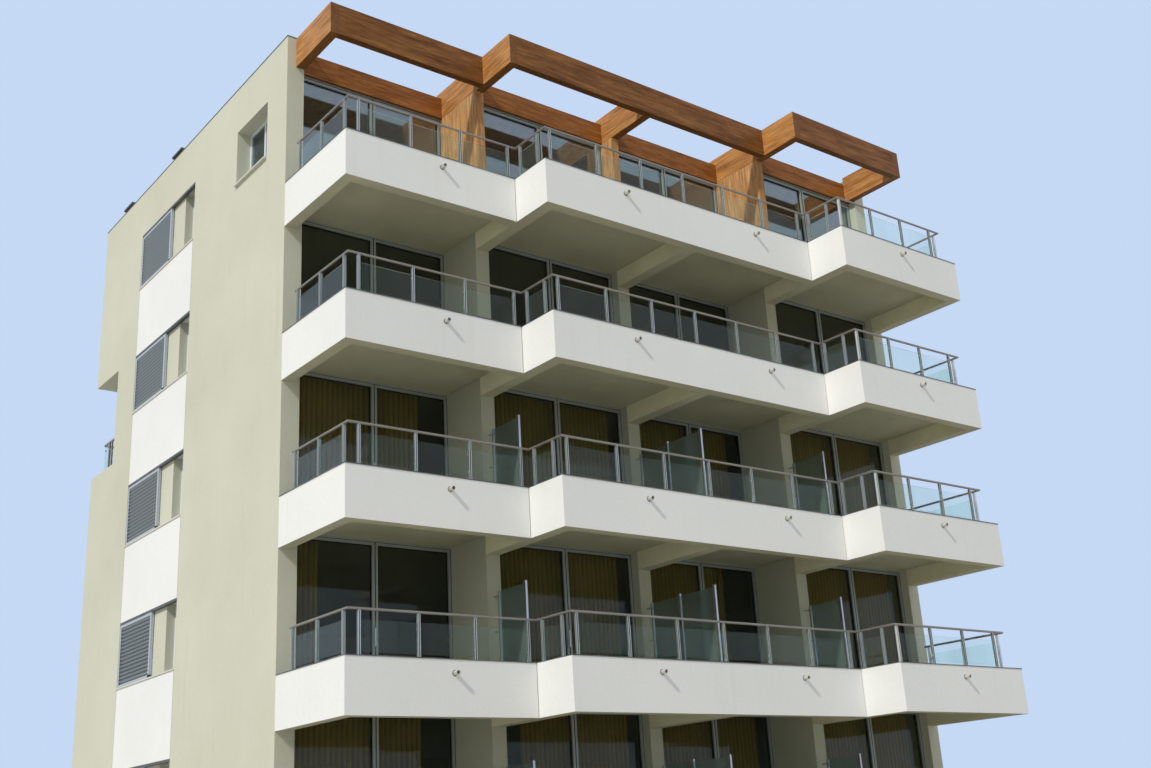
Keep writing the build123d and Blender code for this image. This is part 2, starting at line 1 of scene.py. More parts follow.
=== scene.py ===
"""Looks of an apartment block with a stepped front, tray balconies and a timber roof frame.

Everything is in metres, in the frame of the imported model: x runs along the front to the
right, y to the back and z up, with the origin on the ground under the middle of the plan.
"""
import math

import bpy
import numpy as np
from mathutils import Matrix, Vector


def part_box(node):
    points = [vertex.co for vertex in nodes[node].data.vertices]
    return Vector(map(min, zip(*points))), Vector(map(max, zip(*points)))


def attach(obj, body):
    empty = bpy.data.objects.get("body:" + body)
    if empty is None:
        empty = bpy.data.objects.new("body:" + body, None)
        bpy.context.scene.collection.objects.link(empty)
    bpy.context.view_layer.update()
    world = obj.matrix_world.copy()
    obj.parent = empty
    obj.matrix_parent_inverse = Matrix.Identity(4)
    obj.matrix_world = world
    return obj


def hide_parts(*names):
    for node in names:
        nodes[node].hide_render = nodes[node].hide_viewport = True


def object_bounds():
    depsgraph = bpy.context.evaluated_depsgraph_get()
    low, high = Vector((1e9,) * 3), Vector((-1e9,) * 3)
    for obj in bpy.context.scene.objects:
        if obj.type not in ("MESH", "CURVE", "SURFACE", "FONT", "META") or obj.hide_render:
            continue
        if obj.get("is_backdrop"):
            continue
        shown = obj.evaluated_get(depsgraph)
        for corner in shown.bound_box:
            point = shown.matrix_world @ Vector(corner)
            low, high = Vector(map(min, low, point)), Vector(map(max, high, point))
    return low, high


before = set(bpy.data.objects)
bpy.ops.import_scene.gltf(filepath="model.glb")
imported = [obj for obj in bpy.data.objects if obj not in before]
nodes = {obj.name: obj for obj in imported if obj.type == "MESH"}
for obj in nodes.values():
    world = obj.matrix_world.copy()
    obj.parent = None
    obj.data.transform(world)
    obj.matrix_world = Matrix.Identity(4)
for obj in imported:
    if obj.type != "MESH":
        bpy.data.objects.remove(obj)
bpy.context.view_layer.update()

# Painted render on the end walls, the piers, the plinth and the rear wall. Smooth mineral
# render, trowelled on and painted a pale greenish beige, with faint clouds and rain marks.
# The piers and the plinth take a darker copy of the beige, which is painted shade.
WALL_PAINT = (0.640, 0.640, 0.515)
WALL_SHADE = (0.575, 0.572, 0.450)
WALL_MARK = (0.33, 0.33, 0.27)
# Darker beige of the piers and plinth: painted shade on their recessed faces
PIER_SHADED_PAINT, PIER_SHADE = (0.52, 0.525, 0.400), (0.46, 0.465, 0.350)


def new_group(name, inputs, outputs):
    """An empty node group with its sockets: each is a name, a kind and a default value."""
    group = bpy.data.node_groups.new(name, "ShaderNodeTree")
    for label, kind, value in inputs:
        made = group.interface.new_socket(label, in_out="INPUT", socket_type=kind)
        made.default_value = value
    for label, kind in outputs:
        group.interface.new_socket(label, in_out="OUTPUT", socket_type=kind)
    tree = group.nodes
    return group, tree.new("NodeGroupInput"), tree.new("NodeGroupOutput")


def put(tree, kind, links=(), **values):
    """Adds one node to a tree, joins sockets to its inputs and sets its plain values."""
    made = tree.nodes.new(kind)
    for key, value in values.items():
        if hasattr(made, key):
            setattr(made, key, value)
        else:
            made.inputs[key.replace("_", " ")].default_value = value
    for socket, source in dict(links).items():
        tree.links.new(source, made.inputs[socket])
    return made


def where(tree):
    """The place of the shaded point in the model's frame."""
    return put(tree, "ShaderNodeTexCoord").outputs["Object"]


def noise(tree, vector, scale, detail=4.0, rough=0.55):
    """Fractal noise between 0 and 1 at a number of lumps to the metre."""
    made = put(tree, "ShaderNodeTexNoise", {"Vector": vector}, Scale=scale, Detail=detail)
    made.inputs["Roughness"].default_value = rough
    return made.outputs["Fac"]


def spread(tree, value, low, high, start=0.0, end=1.0):
    """Maps a value from low..high to start..end in a straight line, and clamps it."""
    made = put(tree, "ShaderNodeMapRange", {"Value": value})
    for name, number in zip(("From Min", "From Max", "To Min", "To Max"), (low, high, start, end)):
        made.inputs[name].default_value = number
    return made.outputs["Result"]


def sums(tree, how, first, second=None):
    """One step of arithmetic on sockets or plain numbers."""
    made = tree.nodes.new("ShaderNodeMath")
    made.operation = how
    for slot, value in zip(made.inputs, (first, second)):
        if isinstance(value, (int, float)):
            slot.default_value = value
        elif value is not None:
            tree.links.new(value, slot)
    return made.outputs["Value"]


def blend(tree, amount, first, second, how="MIX"):
    """Mixes two colours, which are sockets or plain colours, by an amount."""
    made = tree.nodes.new("ShaderNodeMix")
    made.data_type, made.blend_type = "RGBA", how
    for slot, value in ((made.inputs[0], amount), (made.inputs[6], first), (made.inputs[7], second)):
        if isinstance(value, (int, float)):
            slot.default_value = value
        elif isinstance(value, tuple):
            slot.default_value = (*value[:3], 1.0)
        else:
            tree.links.new(value, slot)
    return made.outputs[2]


def toned(tree, colour, factor):
    """A colour with its three channels multiplied by one value."""
    grey = put(tree, "ShaderNodeCombineColor", {"Red": factor, "Green": factor, "Blue": factor})
    return blend(tree, 1.0, colour, grey.outputs[0], "MULTIPLY")


def stretched(tree, vector, scale):
    """A vector scaled by its own share on each axis: a low share draws a pattern out."""
    return put(tree, "ShaderNodeMapping", {"Vector": vector}, Scale=scale).outputs[0]


def weather_group():
    """Rain and dust on a painted face: broad clouds, and streaks drawn out down the wall.

    Streaks are noise squeezed across and stretched along z, kept where a broad noise is high.
    """
    group, given, out = new_group(
        "rain and dust",
        [
            ("Paint", "NodeSocketColor", (0.8, 0.8, 0.8, 1)),
            ("Shade", "NodeSocketColor", (0.7, 0.7, 0.7, 1)),
            ("Mark", "NodeSocketColor", (0.3, 0.3, 0.3, 1)),
            ("Streaks", "NodeSocketFloat", 0.2),
            ("Grain", "NodeSocketFloat", 1.0),
        ],
        [("Color", "NodeSocketColor"), ("Roughness", "NodeSocketFloat"), ("Height", "NodeSocketFloat")],
    )
    place = where(group)
    long = stretched(group, place, (5.0, 5.0, 0.16))
    broad = noise(group, place, 0.35, 3.0)
    cloud = noise(group, place, 1.6, 6.0, 0.62)
    streak = noise(group, long, 1.0, 5.0, 0.7)
    gate = spread(group, noise(group, place, 0.55, 2.0), 0.45, 0.75)
    marks = sums(group, "MULTIPLY", spread(group, streak, 0.52, 0.74), gate)
    marks = sums(group, "MULTIPLY", marks, given.outputs["Streaks"])
    shade = spread(group, broad, 0.3, 0.7)
    tone = blend(group, shade, given.outputs["Paint"], given.outputs["Shade"])
    tone = blend(group, marks, tone, given.outputs["Mark"])
    tint = toned(group, tone, spread(group, noise(group, place, 38.0, 3.0), 0.35, 0.7, 0.965, 1.02))
    fine = sums(group, "MULTIPLY", noise(group, place, 90.0, 4.0), given.outputs["Grain"])
    links = group.links
    links.new(tint, out.inputs["Color"])
    links.new(spread(group, cloud, 0.3, 0.7, 0.72, 0.9), out.inputs["Roughness"])
    links.new(sums(group, "ADD", sums(group, "MULTIPLY", cloud, 1.5), fine), out.inputs["Height"])
    return group


weather = weather_group()


def new_material(name):
    """A material with its one shader, ready for colour, roughness and bump."""
    made = bpy.data.materials.new(name)
    made.use_nodes = True
    return made, made.node_tree, made.node_tree.nodes["Principled BSDF"]


def add_bump(tree, shader, height, strength, distance):
    """Bumps a shader's surface by a height socket."""
    bump = put(tree, "ShaderNodeBump", {"Height": height}, Strength=strength, Distance=distance)
    tree.links.new(bump.outputs["Normal"], shader.inputs["Normal"])


def painted(name, paint, shade, streaks, grain=1.0):
    """Painted render: the weather group over one paint, with a fine trowelled grain."""
    made, tree, shader = new_material(name)
    film = put(tree, "ShaderNodeGroup", node_tree=weather, Streaks=streaks, Grain=grain,
               Paint=(*paint, 1), Shade=(*shade, 1), Mark=(*WALL_MARK, 1))
    tree.links.new(film.outputs["Color"], shader.inputs["Base Color"])
    tree.links.new(film.outputs["Roughness"], shader.inputs["Roughness"])
    add_bump(tree, shader, film.outputs["Height"], 0.25, 0.004)
    return made, tree, shader, film


def dress(name, material):
    """Gives a CAD node one material on every slot."""
    mesh = nodes[name].data
    mesh.materials.clear()
    mesh.materials.append(material)


beige_render = painted("beige_render", WALL_PAINT, WALL_SHADE, streaks=0.22)[0]
for name in ("left_end_wall", "right_end_wall", "rear_wall", "loggia_walls", "slot_backs"):
    dress(name, beige_render)
# The piers and plinth get the darker copy of the beige, as painted shade
painted_shade_render = painted("painted_shade_render", PIER_SHADED_PAINT, PIER_SHADE, streaks=0.2)[0]
for name in ("piers", "plinth_walls"):
    dress(name, painted_shade_render)

# Balcony trays. Concrete cast with its edge beams and parapets, white masonry paint outside,
# beige on the soffits, which is partly paint and partly painted shade, cream on the beams'
# sides, and square stoneware tiles on the floor.
PARAPET_WHITE = (0.870, 0.870, 0.838)
PARAPET_SHADE = (0.825, 0.826, 0.796)
SOFFIT_BEIGE_AND_SHADE = (0.560, 0.540, 0.375)
BEAM_CREAM = (0.860, 0.820, 0.580)
TILE_GREY, TILE_WARM, TILE_JOINT = (0.42, 0.39, 0.34), (0.46, 0.43, 0.37), (0.24, 0.23, 0.21)
TILE_SIDE, TILE_GAP = 0.30, 0.004
# The outer front corner of the left end wall, the storey height, the first floor's level, and
# how far each step brings the front forward
wall_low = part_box("left_end_wall")[0]
LEFT, FRONT = wall_low.x, wall_low.y
STOREY, FIRST_FLOOR, STEP = 3.0, 1.27, 0.955
# How far the trays reach out, and how far back a side stands open past its neighbour's front
TRAY_REACH, OPEN_SIDE = 2.35, 1.18
# Where the front steps, the trays' left and right ends, and how near a face at an end lies to it
STEP_LINES = (LEFT + 3.545, LEFT + 10.505)
TRAY_ENDS = (LEFT, LEFT + 3.5525, LEFT + 10.5125, LEFT + 14.3)
END_NEAR = 0.06
# Faces past these lines belong to the outer ends, and from the third on to the last bay
OUTER_LEFT, OUTER_RIGHT, LAST_BAY = LEFT + 0.01, LEFT + 14.29, LEFT + 13.2
# Heights over the start of a level's band, which lies under its floor: the tops of the beams'
# faces and of the floor's
BAND_START, BEAM_TOP, FLOOR_TOP = 0.895, 0.72, 1.0
# A face looks along an axis if its direction has more than this share on it
LOOKS = 0.5


def parts(tree, vector):
    """The three coordinates of a vector socket."""
    return put(tree, "ShaderNodeSeparateXYZ", {"Vector": vector}).outputs


def facing(tree):
    """The three coordinates of the direction that the face looks in."""
    return parts(tree, put(tree, "ShaderNodeNewGeometry").outputs["True Normal"])


def tray_paint():
    """White outside, beige or cream below: worked out from the face's direction and place.

    A face is beige if it looks down, which is partly paint and partly painted shade, and
    cream if it is a beam's side. Those lie below the floor line, and further back than the
    open part of the parapet at that step or away from a tray's ends, or else look to the
    back, or to the left in the last bay. The floor line is found from the height within one
    storey.
    """
    made, tree, shader, film = painted("tray_paint", PARAPET_WHITE, PARAPET_SHADE, streaks=0.16)
    place = where(tree)
    x, y, z = parts(tree, place)
    nx, ny, nz = facing(tree)
    above = sums(tree, "MODULO", sums(tree, "ADD", z, 3 * STOREY - FIRST_FLOOR + BAND_START), STOREY)
    low = sums(tree, "LESS_THAN", above, BEAM_TOP)
    step_one = sums(tree, "GREATER_THAN", x, STEP_LINES[0])
    step_two = sums(tree, "GREATER_THAN", x, STEP_LINES[1])
    steps = sums(tree, "ADD", step_one, step_two)
    front = sums(tree, "ADD", sums(tree, "MULTIPLY", steps, -STEP), FRONT - TRAY_REACH + OPEN_SIDE)
    deep = sums(tree, "GREATER_THAN", y, front)
    aside = sums(tree, "GREATER_THAN", sums(tree, "ABSOLUTE", nx), LOOKS)
    for end in TRAY_ENDS:
        away = sums(tree, "ABSOLUTE", sums(tree, "SUBTRACT", x, end))
        aside = sums(tree, "MULTIPLY", aside, sums(tree, "GREATER_THAN", away, END_NEAR))
    inner = sums(tree, "MULTIPLY", low, sums(tree, "MAXIMUM", deep, aside))
    inner = sums(tree, "MULTIPLY", inner, sums(tree, "GREATER_THAN", x, OUTER_LEFT))
    inner = sums(tree, "MULTIPLY", inner, sums(tree, "LESS_THAN", x, OUTER_RIGHT))
    leftward = sums(tree, "LESS_THAN", nx, -LOOKS)
    last = sums(tree, "MULTIPLY", sums(tree, "GREATER_THAN", x, LAST_BAY), leftward)
    last = sums(tree, "MULTIPLY", low, last)
    back = sums(tree, "MULTIPLY", low, sums(tree, "GREATER_THAN", ny, LOOKS))
    down = sums(tree, "LESS_THAN", nz, -LOOKS)
    covered = sums(tree, "MAXIMUM", sums(tree, "MAXIMUM", inner, last), sums(tree, "MAXIMUM", back, down))
    cloud = spread(tree, noise(tree, place, 0.9, 4.0), 0.3, 0.7, 0.86, 1.04)
    # Faces that look down take the beige: partly paint and partly painted shade
    under = toned(tree, blend(tree, down, BEAM_CREAM, SOFFIT_BEIGE_AND_SHADE), cloud)
    colour = blend(tree, covered, film.outputs["Color"], under)
    grid = put(tree, "ShaderNodeTexBrick", {"Vector": place}, Scale=1.0, offset=0.0,
               Brick_Width=TILE_SIDE, Row_Height=TILE_SIDE, Mortar_Size=TILE_GAP,
               Color1=(*TILE_GREY, 1), Color2=(*TILE_WARM, 1), Mortar=(*TILE_JOINT, 1))
    upward = sums(tree, "GREATER_THAN", nz, LOOKS)
    floor = sums(tree, "MULTIPLY", upward, sums(tree, "LESS_THAN", above, FLOOR_TOP))
    tree.links.new(blend(tree, floor, colour, grid.outputs["Color"]), shader.inputs["Base Color"])
    return made


tray = tray_paint()
for level in range(5):
    dress(f"balcony_{level}", tray)

# Floor and roof slabs. Cast concrete, left pale inside, where it shows only through the
# doors, with grey gravel as ballast on the roof.
SHADE_SHARE = 0.85
STONES_A_METRE = 22.0
for name, paint in (("floor_slabs", (0.46, 0.44, 0.38)), ("base_slab", (0.36, 0.35, 0.33))):
    darker = tuple(SHADE_SHARE * value for value in paint)
    dress(name, painted(name + "_concrete", paint, darker, streaks=0.1)[0])


def roof_gravel():
    """Rounded pebbles: each Voronoi cell has its own grey, and falls away at its edge."""
    made, tree, shader = new_material("roof_gravel")
    stones = put(tree, "ShaderNodeTexVoronoi", {"Vector": where(tree)}, Scale=STONES_A_METRE)
    tones = put(tree, "ShaderNodeSeparateColor", {"Color": stones.outputs["Color"]}).outputs[0]
    colour = blend(tree, tones, (0.34, 0.33, 0.30), (0.58, 0.57, 0.53))
    tree.links.new(colour, shader.inputs["Base Color"])
    tree.links.new(spread(tree, tones, 0, 1, 0.75, 0.92), shader.inputs["Roughness"])
    add_bump(tree, shader, spread(tree, stones.outputs["Distance"], 0, 0.6, 1, 0), 0.8, 0.02)
    return made


dress("roof_slab", roof_gravel())

# Infill panels between the end walls' slots. Smooth white panels, flush with the wall, with
# a thin shadow joint where each meets the render at its two upright edges.
PANEL_WHITE, PANEL_SHADE, JOINT_GREY = (0.870, 0.870, 0.850), (0.82, 0.82, 0.80), (0.20, 0.20, 0.17)
JOINT_WIDE = 0.012
PANEL_EDGES = [corner.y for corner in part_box("infill_panels")]

infill, tree, shader, film = painted("panel_white", PANEL_WHITE, PANEL_SHADE, streaks=0.08, grain=0.4)
y = parts(tree, where(tree))[1]
off_middle = sums(tree, "ABSOLUTE", sums(tree, "SUBTRACT", y, sum(PANEL_EDGES) / 2))
joint = sums(tree, "GREATER_THAN", off_middle, (PANEL_EDGES[1] - PANEL_EDGES[0]) / 2 - JOINT_WIDE)
tree.links.new(blend(tree, joint, film.outputs["Color"], JOINT_GREY), shader.inputs["Base Color"])
dress("infill_panels", infill)

# Sills of the slots and windows. Pressed metal painted cream, a little proud of the wall,
# with dust lying on top of them.
SILL_CREAM, SILL_SHADE = (0.66, 0.65, 0.57), (0.58, 0.57, 0.50)
sills, tree, shader, film = painted("sill_cream", SILL_CREAM, SILL_SHADE, streaks=0.3, grain=0.3)
shader.inputs["Specular IOR Level"].default_value = 0.4
dress("window_sills", sills)


# Louvre shutters, their tracks and the frames of doors and windows. Extruded aluminium: the
# tilted blades are painted blue grey, in a pale frame that slides in a track at the head.
DUST_GREY = (0.46, 0.44, 0.39)


def metal_group():
    """Worked metal: fine brush lines drawn out along z, and broad clouds of dust."""
    group, given, out = new_group(
        "brushed and dusty",
        [("Metal", "NodeSocketColor", (0.6, 0.6, 0.6, 1)), ("Dust", "NodeSocketFloat", 0.2),
         ("Smooth", "NodeSocketFloat", 0.3)],
        [("Color", "NodeSocketColor"), ("Roughness", "NodeSocketFloat"), ("Height", "NodeSocketFloat")],
    )
    place = where(group)
    brush = noise(group, stretched(group, place, (160.0, 160.0, 6.0)), 1.0, 3.0)
    film = sums(group, "MULTIPLY", spread(group, noise(group, place, 2.2, 5.0), 0.42, 0.72),
                given.outputs["Dust"])
    colour = toned(group, given.outputs["Metal"], spread(group, brush, 0.3, 0.7, 0.94, 1.04))
    links = group.links
    links.new(blend(group, film, colour, DUST_GREY), out.inputs["Color"])
    rough = sums(group, "ADD", given.outputs["Smooth"], sums(group, "MULTIPLY", brush, 0.12))
    links.new(sums(group, "ADD", rough, sums(group, "MULTIPLY", film, 0.6)), out.inputs["Roughness"])
    links.new(brush, out.inputs["Height"])
    return group


worked_metal = metal_group()


def metal(name, colour, dust, smooth, metallic):
    """One metal finish: the metal group under a shader of a plain metallic value."""
    made, tree, shader = new_material(name)
    film = put(tree, "ShaderNodeGroup", node_tree=worked_metal,
               Metal=(*colour, 1), Dust=dust, Smooth=smooth)
    tree.links.new(film.outputs["Color"], shader.inputs["Base Color"])
    tree.links.new(film.outputs["Roughness"], shader.inputs["Roughness"])
    shader.inputs["Metallic"].default_value = metallic
    add_bump(tree, shader, film.outputs["Height"], 0.05, 0.001)
    return made, tree, shader, film


def solids(name):
    """Lowest and highest corners of each separate solid of a CAD node, as two arrays.

    Points that coincide are joined, and each point takes the least label that it can reach
    along the edges.
    """
    mesh = nodes[name].data
    points = np.empty(3 * len(mesh.vertices))
    mesh.vertices.foreach_get("co", points)
    points, same = np.unique(points.reshape(-1, 3).round(4), axis=0, return_inverse=True)
    edges = np.empty(2 * len(mesh.edges), int)
    mesh.edges.foreach_get("vertices", edges)
    ends = same.reshape(-1)[edges].reshape(-1, 2).T
    label = np.arange(len(points))
    while True:
        fresh = label.copy()
        for end in ends:
            np.minimum.at(fresh, end, label[ends].min(0))
        fresh = fresh[fresh]
        if (fresh == label).all():
            break
        label = fresh
    groups = [points[label == key] for key in np.unique(label)]
    order = sorted(groups, key=lambda group: tuple(group.min(0)[[2, 1, 0]].round(3)))
    return np.array([group.min(0) for group in order]), np.array([group.max(0) for group in order])


# Each blade is dark over the part of the pitch that lies in the shadow of the blade above
SHUTTER_FRAME, LOUVRE_PITCH, BLADE_DARK = 0.06, 0.078, (0.30, 0.62)
BLADE_PAINT, BLADE_SHADE, SHUTTER_EDGE = (0.270, 0.320, 0.355), (0.150, 0.185, 0.210), (0.43, 0.48, 0.52)
low, high = solids("louvre_shutters")
SHUTTER_FIELD_Y = (low[0, 1] + SHUTTER_FRAME, high[0, 1] - SHUTTER_FRAME)
SHUTTER_FIELD_Z = (low[0, 2] - FIRST_FLOOR + SHUTTER_FRAME, high[0, 2] - FIRST_FLOOR - SHUTTER_FRAME)
shutter_paint, tree, shader, film = metal("shutter_paint", BLADE_PAINT, dust=0.2, smooth=0.35, metallic=0.0)
y, z = parts(tree, where(tree))[1:]
rise = sums(tree, "MODULO", sums(tree, "ADD", z, 3 * STOREY - FIRST_FLOOR), STOREY)
aside = sums(tree, "ABSOLUTE", sums(tree, "SUBTRACT", y, sum(SHUTTER_FIELD_Y) / 2))
apart = sums(tree, "ABSOLUTE", sums(tree, "SUBTRACT", rise, sum(SHUTTER_FIELD_Z) / 2))
edge = sums(tree, "MAXIMUM",
            sums(tree, "GREATER_THAN", aside, (SHUTTER_FIELD_Y[1] - SHUTTER_FIELD_Y[0]) / 2),
            sums(tree, "GREATER_THAN", apart, (SHUTTER_FIELD_Z[1] - SHUTTER_FIELD_Z[0]) / 2))
blade = sums(tree, "FLOORED_MODULO", sums(tree, "SUBTRACT", rise, sum(SHUTTER_FIELD_Z) / 2), LOUVRE_PITCH)
dark = spread(tree, blade, BLADE_DARK[0] * LOUVRE_PITCH, BLADE_DARK[1] * LOUVRE_PITCH)
tone = blend(tree, dark, film.outputs["Color"], BLADE_SHADE)
tree.links.new(blend(tree, edge, tone, SHUTTER_EDGE), shader.inputs["Base Color"])
dress("louvre_shutters", shutter_paint)
frame_metal = metal("frame_metal", (0.355, 0.395, 0.365), dust=0.2, smooth=0.32, metallic=0.2)[0]
for name in ("door_frames", "curtain_tracks"):
    dress(name, frame_metal)
dress("small_frames", metal("window_paint", (0.72, 0.77, 0.80), dust=0.1, smooth=0.3, metallic=0.0)[0])
# The head tracks are nearly black: painted shadow that the slot's head casts on them
dress("shutter_tracks", metal("track_painted_shadow", (0.085, 0.090, 0.095), dust=0.2, smooth=0.45, metallic=0.2)[0])


# Glass of the sliding doors and small windows. Two-pane units with a green grey cast, which
# show the dark rooms; the top storey's panes carry a sun film that mirrors the sky.
FILM_IOR, FILM_FAINT = 2.35, 0.045
TOP_FLOOR = FIRST_FLOOR + 4 * STOREY


def glazing(name, tint, clear, smooth, bend, lift=0.0, film_from=None):
    """Tinted glass that lets a lamp's light through: shadow rays meet a plain see-through face.

    Wiped streaks make it a little paler and rougher in places. Above the level film_from a
    mirror-like film lies on it, and below it a faint one.
    """
    made, tree, shader = new_material(name)
    place = where(tree)
    wipe = noise(tree, stretched(tree, place, (1.2, 1.2, 0.5)), 1.0, 5.0)
    film = spread(tree, wipe, 0.35, 0.75)
    pale = tuple(min(1.0, value * 1.12 + lift) for value in tint)
    tree.links.new(blend(tree, film, tint, pale), shader.inputs["Base Color"])
    tree.links.new(spread(tree, wipe, 0.3, 0.8, smooth, smooth + 0.05), shader.inputs["Roughness"])
    shader.inputs["Transmission Weight"].default_value = clear
    shader.inputs["IOR"].default_value = bend
    add_bump(tree, shader, noise(tree, place, 1.4, 2.0), 0.02, 0.02)
    if film_from:
        z = parts(tree, place)[2]
        shader.inputs["Coat IOR"].default_value = FILM_IOR
        coat = spread(tree, z, film_from - 0.01, film_from, FILM_FAINT, 1.0)
        tree.links.new(coat, shader.inputs["Coat Weight"])
    seen = put(tree, "ShaderNodeBsdfTransparent", Color=(*tint, 1))
    light = put(tree, "ShaderNodeLightPath").outputs["Is Shadow Ray"]
    both = tree.nodes.new("ShaderNodeMixShader")
    tree.links.new(light, both.inputs[0])
    tree.links.new(shader.outputs[0], both.inputs[1])
    tree.links.new(seen.outputs[0], both.inputs[2])
    tree.links.new(both.outputs[0], tree.nodes["Material Output"].inputs["Surface"])
    return made


door_pane = glazing("door_pane", (0.50, 0.53, 0.41), clear=0.975, smooth=0.0, bend=1.22,
                    film_from=TOP_FLOOR)
dress("door_glass", door_pane)
dress("small_glass", glazing("window_pane", (0.42, 0.56, 0.60), clear=0.97, smooth=0.0, bend=1.35))


# Rubber gaskets of the sliding doors. A black extruded seal runs round each pane, pressed
# between the glass and the leaf, inside and out.
SEAL, SEAL_DEEP = 0.010, 0.014
RUBBER_BLACK, RUBBER_WORN = (0.012, 0.012, 0.013), (0.05, 0.048, 0.045)


def new_piece(name, points, faces, material):
    """One mesh object from points and faces, of one material, carried by the building."""
    mesh = bpy.data.meshes.new(name)
    mesh.from_pydata(points.tolist(), [], faces)
    mesh.materials.append(material)
    piece = bpy.data.objects.new(name, mesh)
    bpy.context.scene.collection.objects.link(piece)
    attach(piece, "root")
    return piece


def boxes(name, lows, highs, material, bevel=0.0):
    """Many square-edged bars as one mesh, from arrays of their lowest and highest corners.

    Corner k of a bar takes its low or high value on each axis by the bits of k.
    """
    lows, highs = np.asarray(lows, float), np.asarray(highs, float)
    bits = np.array([[k & 1, (k >> 1) & 1, (k >> 2) & 1] for k in range(8)])
    points = np.where(bits[None], highs[:, None], lows[:, None]).reshape(-1, 3)
    quads = np.array([[0, 2, 3, 1], [4, 5, 7, 6], [0, 1, 5, 4], [2, 6, 7, 3], [0, 4, 6, 2], [1, 3, 7, 5]])
    faces = (quads[None] + 8 * np.arange(len(lows))[:, None, None]).reshape(-1, 4)
    piece = new_piece(name, points, faces.tolist(), material)
    if bevel:
        rounded = piece.modifiers.new("rounded", "BEVEL")
        rounded.width, rounded.segments, rounded.limit_method = bevel, 1, "ANGLE"


low, high = solids("door_glass")
(a, b), (foot, head) = (low[:, 0], high[:, 0]), (low[:, 2], high[:, 2])
lows, highs = [], []
for y0, y1 in ((low[:, 1] - SEAL_DEEP, low[:, 1]), (high[:, 1], high[:, 1] + SEAL_DEEP)):
    for x0, x1, z0, z1 in (
        (a, b, foot, foot + SEAL), (a, b, head - SEAL, head),
        (a, a + SEAL, foot + SEAL, head - SEAL), (b - SEAL, b, foot + SEAL, head - SEAL),
    ):
        lows.append(np.stack([x0, y0, z0], 1))
        highs.append(np.stack([x1, y1, z1], 1))
rubber, tree, shader = new_material("black_rubber")
worn = noise(tree, where(tree), 9.0, 4.0)
colour = blend(tree, spread(tree, worn, 0.4, 0.8), RUBBER_BLACK, RUBBER_WORN)
tree.links.new(colour, shader.inputs["Base Color"])
tree.links.new(spread(tree, worn, 0.3, 0.7, 0.5, 0.75), shader.inputs["Roughness"])
boxes("door_gaskets", np.concatenate(lows), np.concatenate(highs), rubber)

# Brush seals of the sliding doors. A dark strip round each leaf fills the gap between its
# rails and the frame, outside.
RAIL, BRUSH, BRUSH_DEEP = 0.045, 0.009, 0.003
DOOR_DEEP = 0.12
face = low[:, 1] - (DOOR_DEEP - (high - low)[0, 1]) / 2
x0, x1, foot, head = low[:, 0] - RAIL, high[:, 0] + RAIL, low[:, 2] - RAIL, high[:, 2] + RAIL
lows, highs = [], []
for a, b, c, d in (
    (x0 - BRUSH, x1 + BRUSH, foot - BRUSH, foot), (x0 - BRUSH, x1 + BRUSH, head, head + BRUSH),
    (x0 - BRUSH, x0, foot, head), (x1, x1 + BRUSH, foot, head),
):
    lows.append(np.stack([a, face - BRUSH_DEEP, c], 1))
    highs.append(np.stack([b, face + BRUSH_DEEP, d], 1))
boxes("brush_seals", np.concatenate(lows), np.concatenate(highs), rubber)

# Pull handles of the sliding doors. A flat brushed bar on two short studs, on the meeting
# stile of each door at hand height, outside.
MEETING, GRIP_HIGH, GRIP_ASIDE, SAME = 0.11, 1.0, 0.02, 0.002
# Two panes are one door if they stand a meeting stile apart. The grip is the bar and its
# studs, as lowest and highest corners about the middle of the bar, on the door's face.
partner = np.abs(low[:, None, 0] - high[None, :, 0] - MEETING) < SAME
partner &= np.abs(low[:, None] - low[None])[:, :, 1:].max(2) < SAME
has_partner = partner.any(1)
doors = low[has_partner]
middle = np.stack([doors[:, 0] - MEETING / 2 - GRIP_ASIDE, face[has_partner], doors[:, 2] + GRIP_HIGH], 1)
grip = [
    ((-0.012, -0.045, -0.16), (0.012, -0.035, 0.16)),
    ((-0.008, -0.035, -0.13), (0.008, 0.0, -0.114)),
    ((-0.008, -0.035, 0.114), (0.008, 0.0, 0.13)),
]
lows = [middle + start for start, end in grip]
highs = [middle + end for start, end in grip]
brushed_steel = metal("brushed_steel", (0.60, 0.585, 0.56), dust=0.12, smooth=0.24, metallic=0.95)[0]
boxes("door_handles", np.concatenate(lows), np.concatenate(highs), brushed_steel, 0.002)


# Curtains. Lined ochre cloth gathered in soft pleats, hooked to a ceiling track behind each
# door and drawn as far as the photograph shows; each one is cut wider than it hangs.
PLEAT, TURN_POINTS, ROWS = 0.105, 12, 15
SWING_HEAD, SWING_HEM, SWING_WANDER, LEAN = 0.024, 0.042, 0.22, 0.010
# The swing wanders once in so many pleats, and so does the lean, which is part of the sway
WANDER_PLEATS, WANDER_SHIFT, LEAN_PLEATS, LEAN_SHARE = 3.1, 5, 2.3, 0.3
PHASE_STEP = 1.7
OCHRE, OCHRE_FADED = (0.66, 0.450, 0.085), (0.56, 0.370, 0.065)
FOLD_SHADE, WEFT = (0.30, 0.190, 0.036), (0.70, 0.52, 0.16)
cloth, tree, shader = new_material("ochre_cloth")
place = put(tree, "ShaderNodeUVMap").outputs["UV"]
weave = put(tree, "ShaderNodeTexWave", {"Vector": place}, Scale=260.0, Distortion=1.5)
fade = noise(tree, place, 1.3, 4.0)
fold = put(tree, "ShaderNodeAttribute", attribute_name="fold").outputs["Fac"]
colour = blend(tree, spread(tree, fade, 0.3, 0.7), OCHRE, OCHRE_FADED)
